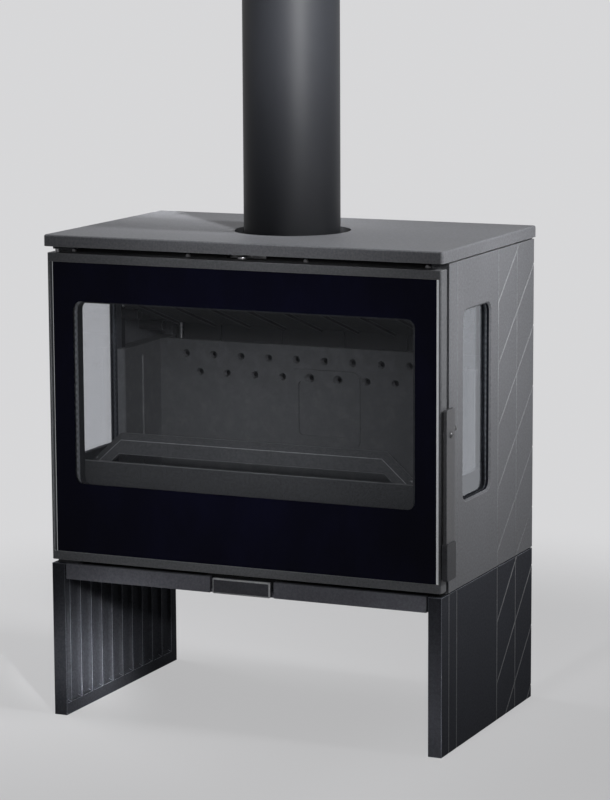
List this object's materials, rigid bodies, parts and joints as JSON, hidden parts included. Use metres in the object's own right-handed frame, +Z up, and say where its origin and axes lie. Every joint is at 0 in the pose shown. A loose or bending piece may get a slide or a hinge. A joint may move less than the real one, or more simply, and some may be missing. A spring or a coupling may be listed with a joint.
{
  "type": "cast iron wood stove",
  "caption": "Free-standing cast iron wood stove on two panel legs, with a full-glass hinged door, a window in each side and a round top flue.",
  "frame": {"origin": "on the floor, midway between the legs and midway along the depth, below the flue's axis", "axes": "+X to the right as seen from the front, +Y to the back, +Z up; the door faces -Y"},
  "size_m": [0.6666, 0.401, 1.18],
  "materials": {
    "iron": "matt charcoal stove paint on a fine cast grain",
    "door_iron": "matt charcoal stove paint",
    "fire_iron": "dry matt grey, sooted by the fire",
    "pipe_paint": "smooth matt black stove paint",
    "sheet": "matt black sheet steel",
    "clear_glass": "clear ceramic glass",
    "printed_glass": "ceramic glass with a black printed border around a clear window",
    "rope": "woven glass-fibre rope",
    "steel": "plain steel",
    "handle_paint": "satin charcoal paint"
  },
  "bodies": {
    "stove": {"air_box": "sheet", "back_panel": "sheet", "back_screws": "steel", "baffle": "fire_iron", "baffle_pegs": "fire_iron", "base_plate": "iron", "firebox_back": "fire_iron", "flue_collar": "fire_iron", "flue_gasket": "rope", "flue_pipe": "pipe_paint", "flue_screws": "steel", "front_lip": "fire_iron", "front_rail": "iron", "glass_frame_left": "fire_iron", "glass_frame_right": "fire_iron", "glass_frame_screws": "steel", "header": "iron", "header_screws": "steel", "hearth": "fire_iron", "hinge_bracket_bottom": "steel", "hinge_bracket_top": "steel", "hinge_pins": "steel", "hinge_washer": "steel", "keeper_stud": "steel", "leg_bolts": "steel", "leg_left": "iron", "leg_right": "iron", "lining_left": "fire_iron", "lining_right": "fire_iron", "rail_screws": "steel", "side_glass_left": "clear_glass", "side_glass_right": "clear_glass", "side_panel_left": "iron", "side_panel_right": "iron", "side_seal_left": "rope", "side_seal_right": "rope", "tie_rods": "steel", "top_plate": "iron"},
    "door": {"door_frame": "door_iron", "door_glass": "printed_glass", "door_gasket": "rope", "door_inner_frame": "door_iron", "door_rope": "rope", "door_screws": "steel"},
    "handle": {"handle_lever": "handle_paint", "handle_grip": "handle_paint", "latch_shaft": "steel", "handle_screw": "steel", "latch_hook": "steel"},
    "air_slide": {"air_slide": "door_iron"},
    "secondary_slide": {"secondary_slide": "steel", "secondary_knob": "steel"},
    "ash_pan": {"ash_pan": "sheet"},
    "grate": {"grate": "fire_iron"},
    "log_retainer": {"log_retainer": "fire_iron"}
  },
  "joints": [
    {"name": "door_hinge", "type": "hinge", "parent": "stove", "child": "door", "pos_m": [-0.314, -0.181, 0.49], "axis": [0, 0, -1], "range_deg": [0, 95]},
    {"name": "handle_turn", "type": "hinge", "parent": "door", "child": "handle", "pos_m": [0.33, -0.18, 0.487], "axis": [-1, 0, 0], "range_deg": [0, 40]},
    {"name": "air_pull", "type": "slide", "parent": "stove", "child": "air_slide", "axis": [0, -1, 0], "range_m": [0, 0.045]},
    {"name": "secondary_shift", "type": "slide", "parent": "stove", "child": "secondary_slide", "axis": [1, 0, 0], "range_m": [-0.02, 0.02]},
    {"name": "ash_pan_lift", "type": "slide", "parent": "stove", "child": "ash_pan", "axis": [0, 0, 1], "range_m": [0, 0.06]},
    {"name": "grate_lift", "type": "slide", "parent": "ash_pan", "child": "grate", "axis": [0, 0, 1], "range_m": [0, 0.06]},
    {"name": "retainer_lift", "type": "slide", "parent": "stove", "child": "log_retainer", "axis": [0, 0, 1], "range_m": [0, 0.06]}
  ]
}
